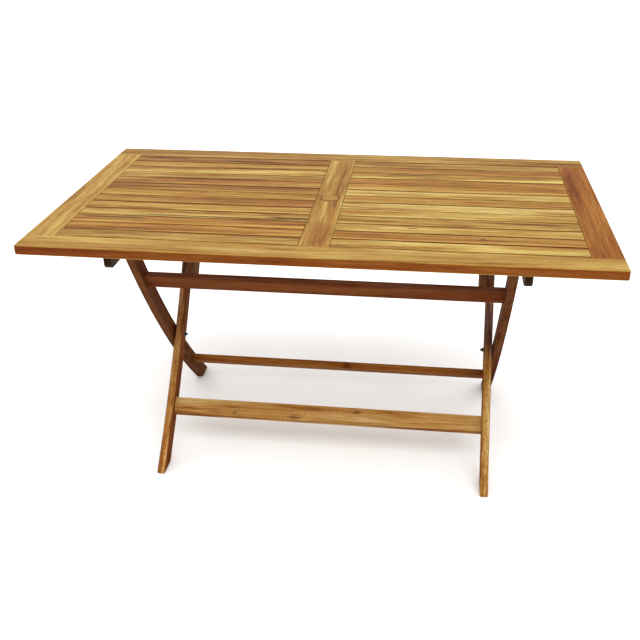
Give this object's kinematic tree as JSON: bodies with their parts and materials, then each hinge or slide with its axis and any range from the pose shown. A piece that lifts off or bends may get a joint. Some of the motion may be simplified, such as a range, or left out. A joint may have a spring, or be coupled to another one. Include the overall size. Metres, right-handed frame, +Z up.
{
  "type": "folding picnic table",
  "caption": "Slatted wooden folding table: framed top with a parasol hole and plug, on two curved leg frames crossed like scissors.",
  "frame": {"origin": "on the floor, under the middle of the top, with the table standing open", "axes": "+X along the table's length, +Y from front to back, +Z up"},
  "size_m": [1.432, 0.83, 0.74],
  "materials": {
    "rail_wood": "oiled hardwood, satin",
    "slat_wood": "oiled hardwood, satin",
    "plug_wood": "oiled hardwood, satin",
    "leg_wood": "oiled hardwood, satin",
    "dark_steel": "blackened zinc plate",
    "screw_steel": "yellow zinc plate"
  },
  "bodies": {
    "table_top": {"back_rail": "rail_wood", "bearer_screws": "screw_steel", "centre_rail": "rail_wood", "front_rail": "rail_wood", "hinge_bolts": "dark_steel", "hinge_nuts": "dark_steel", "hinge_spacers": "dark_steel", "left_bearer": "leg_wood", "left_end_rail": "rail_wood", "left_slat_01": "slat_wood", "left_slat_02": "slat_wood", "left_slat_03": "slat_wood", "left_slat_04": "slat_wood", "left_slat_05": "slat_wood", "left_slat_06": "slat_wood", "left_slat_07": "slat_wood", "left_slat_08": "slat_wood", "left_slat_09": "slat_wood", "left_slat_10": "slat_wood", "left_slat_11": "slat_wood", "left_slat_12": "slat_wood", "left_slat_13": "slat_wood", "right_bearer": "leg_wood", "right_end_rail": "rail_wood", "right_slat_01": "slat_wood", "right_slat_02": "slat_wood", "right_slat_03": "slat_wood", "right_slat_04": "slat_wood", "right_slat_05": "slat_wood", "right_slat_06": "slat_wood", "right_slat_07": "slat_wood", "right_slat_08": "slat_wood", "right_slat_09": "slat_wood", "right_slat_10": "slat_wood", "right_slat_11": "slat_wood", "right_slat_12": "slat_wood", "right_slat_13": "slat_wood"},
    "outer_frame": {"left_outer_leg": "leg_wood", "right_outer_leg": "leg_wood", "outer_upper_bar": "leg_wood", "outer_lower_bar": "leg_wood", "outer_bar_screws": "screw_steel", "crossing_bolts": "dark_steel", "crossing_nuts": "dark_steel", "crossing_washers": "dark_steel"},
    "inner_frame": {"left_inner_leg": "leg_wood", "right_inner_leg": "leg_wood", "left_leg_cheek": "leg_wood", "right_leg_cheek": "leg_wood", "inner_top_bar": "leg_wood", "inner_lower_bar": "leg_wood", "inner_bar_screws": "screw_steel"},
    "plug": {"parasol_plug": "plug_wood"}
  },
  "joints": [
    {"name": "fold", "type": "hinge", "parent": "table_top", "child": "outer_frame", "pos_m": [0, -0.275, 0.691], "axis": [1, 0, 0], "range_deg": [0, 46]},
    {"name": "scissor", "type": "hinge", "parent": "outer_frame", "child": "inner_frame", "pos_m": [0, 0, 0.295], "axis": [1, 0, 0], "range_deg": [-92, 0]},
    {"name": "plug_lift", "type": "slide", "parent": "table_top", "child": "plug", "axis": [0, 0, 1], "range_m": [0, 0.04]}
  ],
  "couplings": [
    {"joint": "scissor", "follows": "fold", "ratio": -2}
  ]
}
